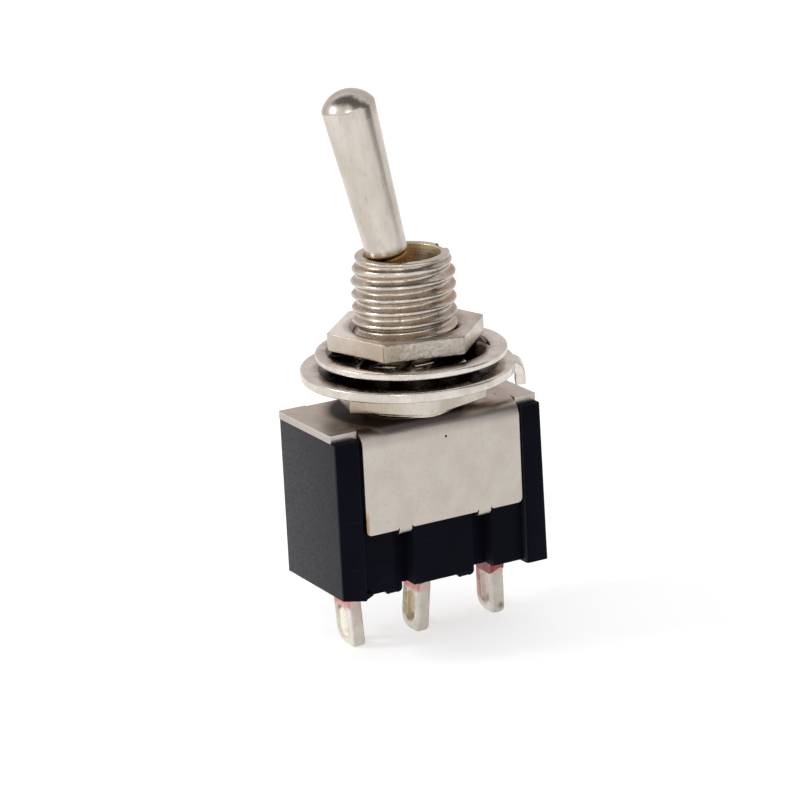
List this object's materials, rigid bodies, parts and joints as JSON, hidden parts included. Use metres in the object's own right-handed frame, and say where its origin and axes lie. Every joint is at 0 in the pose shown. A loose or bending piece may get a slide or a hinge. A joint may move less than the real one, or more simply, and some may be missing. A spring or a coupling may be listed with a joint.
{
  "type": "toggle switch",
  "caption": "Miniature panel-mounting toggle switch: ball-tipped bat lever in a threaded bushing with nuts and washers, steel-framed case and solder lugs.",
  "frame": {"origin": "axis of the threaded bushing at the top face of the steel frame", "axes": "+Z along the bushing's axis, out of the panel; X along the row of solder lugs; the lever rests leaning to -X and swings towards +X; -Y is the long face with the stained flap"},
  "size_m": [0.0132, 0.012, 0.0318],
  "materials": {
    "moulded_case": "semi-matt thermoset moulding",
    "plated_steel": "nickel plated sheet, stained",
    "nickel_brass": "nickel plated, satin, brown in the recesses",
    "tinned_lug": "tinned, brown stains",
    "contact_silver": "satin silver",
    "contact_copper": "satin",
    "spring_steel": "drawn",
    "card": "matt",
    "plunger_nylon": "satin",
    "epoxy": "poured, dark red-brown"
  },
  "bodies": {
    "root": {"case": "moulded_case", "frame": "plated_steel", "insulator_card": "card", "bushing": "nickel_brass", "terminal_left": "tinned_lug", "terminal_common": "tinned_lug", "terminal_right": "tinned_lug", "contact_left": "contact_silver", "contact_right": "contact_silver", "seal_left": "epoxy", "seal_common": "epoxy", "seal_right": "epoxy", "bottom_nut": "nickel_brass", "top_nut": "nickel_brass", "keyed_washer": "plated_steel", "lock_washer": "plated_steel"},
    "lever": {"lever": "nickel_brass", "pivot_pin": "spring_steel", "plunger_spring": "spring_steel"},
    "plunger": {"plunger": "plunger_nylon"},
    "rocker": {"rocker": "contact_copper"}
  },
  "joints": [
    {"name": "lever_tilt", "type": "hinge", "parent": "root", "child": "lever", "pos_m": [0, 0, 0.005], "axis": [0, 1, 0], "range_deg": [0, 25]},
    {"name": "plunger_slide", "type": "slide", "parent": "lever", "child": "plunger", "axis": [-0.2164, 0, 0.9763], "range_m": [0, 0.0004], "stiffness_N_per_m": 800, "springref_m": -0.001, "deforming": ["plunger_spring"]},
    {"name": "rocker_tilt", "type": "hinge", "parent": "root", "child": "rocker", "pos_m": [0, 0, -0.0064], "axis": [0, 1, 0], "range_deg": [-24, 0]}
  ],
  "couplings": [
    {"joint": "rocker_tilt", "follows": "lever_tilt", "ratio": -0.96}
  ]
}
